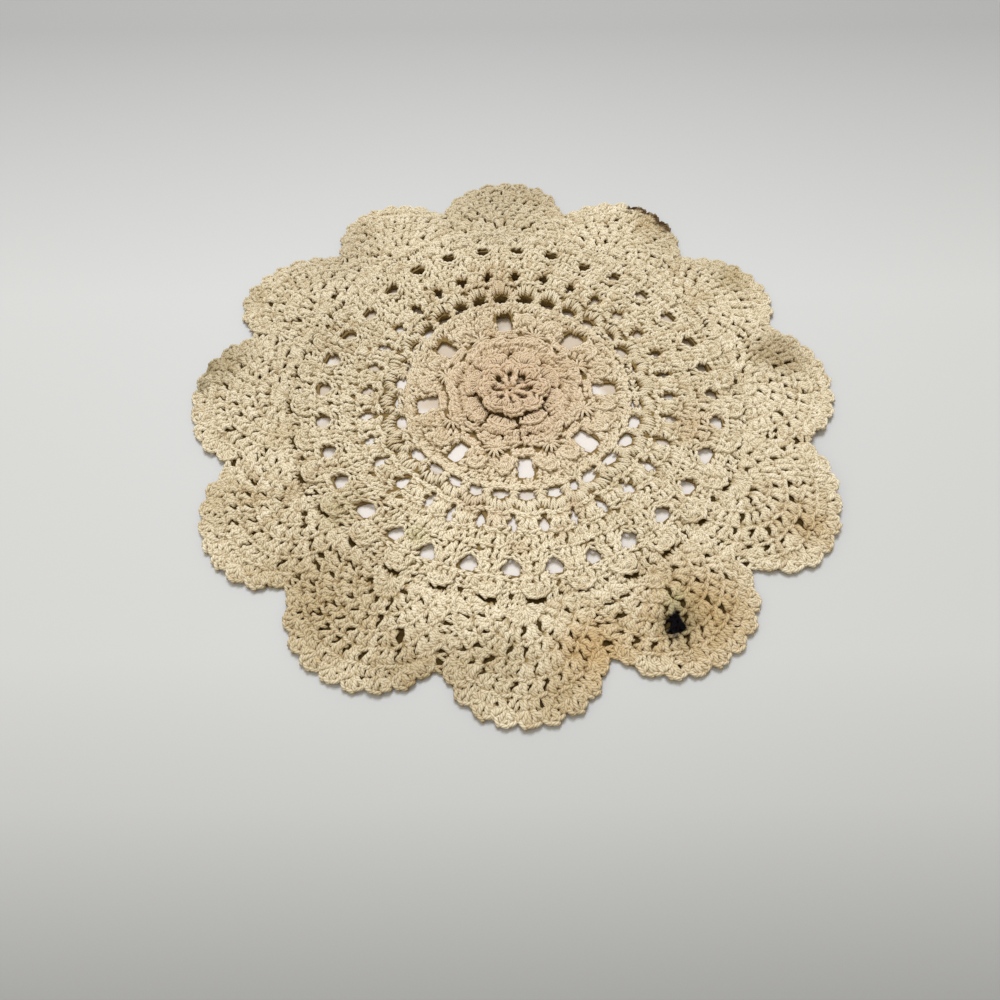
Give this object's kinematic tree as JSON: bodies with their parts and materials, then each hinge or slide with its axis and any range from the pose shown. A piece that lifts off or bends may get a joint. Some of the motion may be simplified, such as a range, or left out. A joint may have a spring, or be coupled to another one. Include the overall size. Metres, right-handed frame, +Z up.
{
  "type": "lace doily",
  "caption": "Round scalloped crochet doily with a raised rose in the middle, rings of open gaps around it and an edging of small lobes.",
  "frame": {"origin": "middle of the mat's box, on the surface it lies on", "axes": "+Z straight up out of the table, through the thickness; +Y towards the scallop that is farthest from the viewer; +X to the right"},
  "size_m": [0.2406, 0.2446, 0.0065],
  "materials": {
    "cotton": "matte"
  },
  "bodies": {
    "root": {"doily": "cotton"}
  },
  "joints": []
}
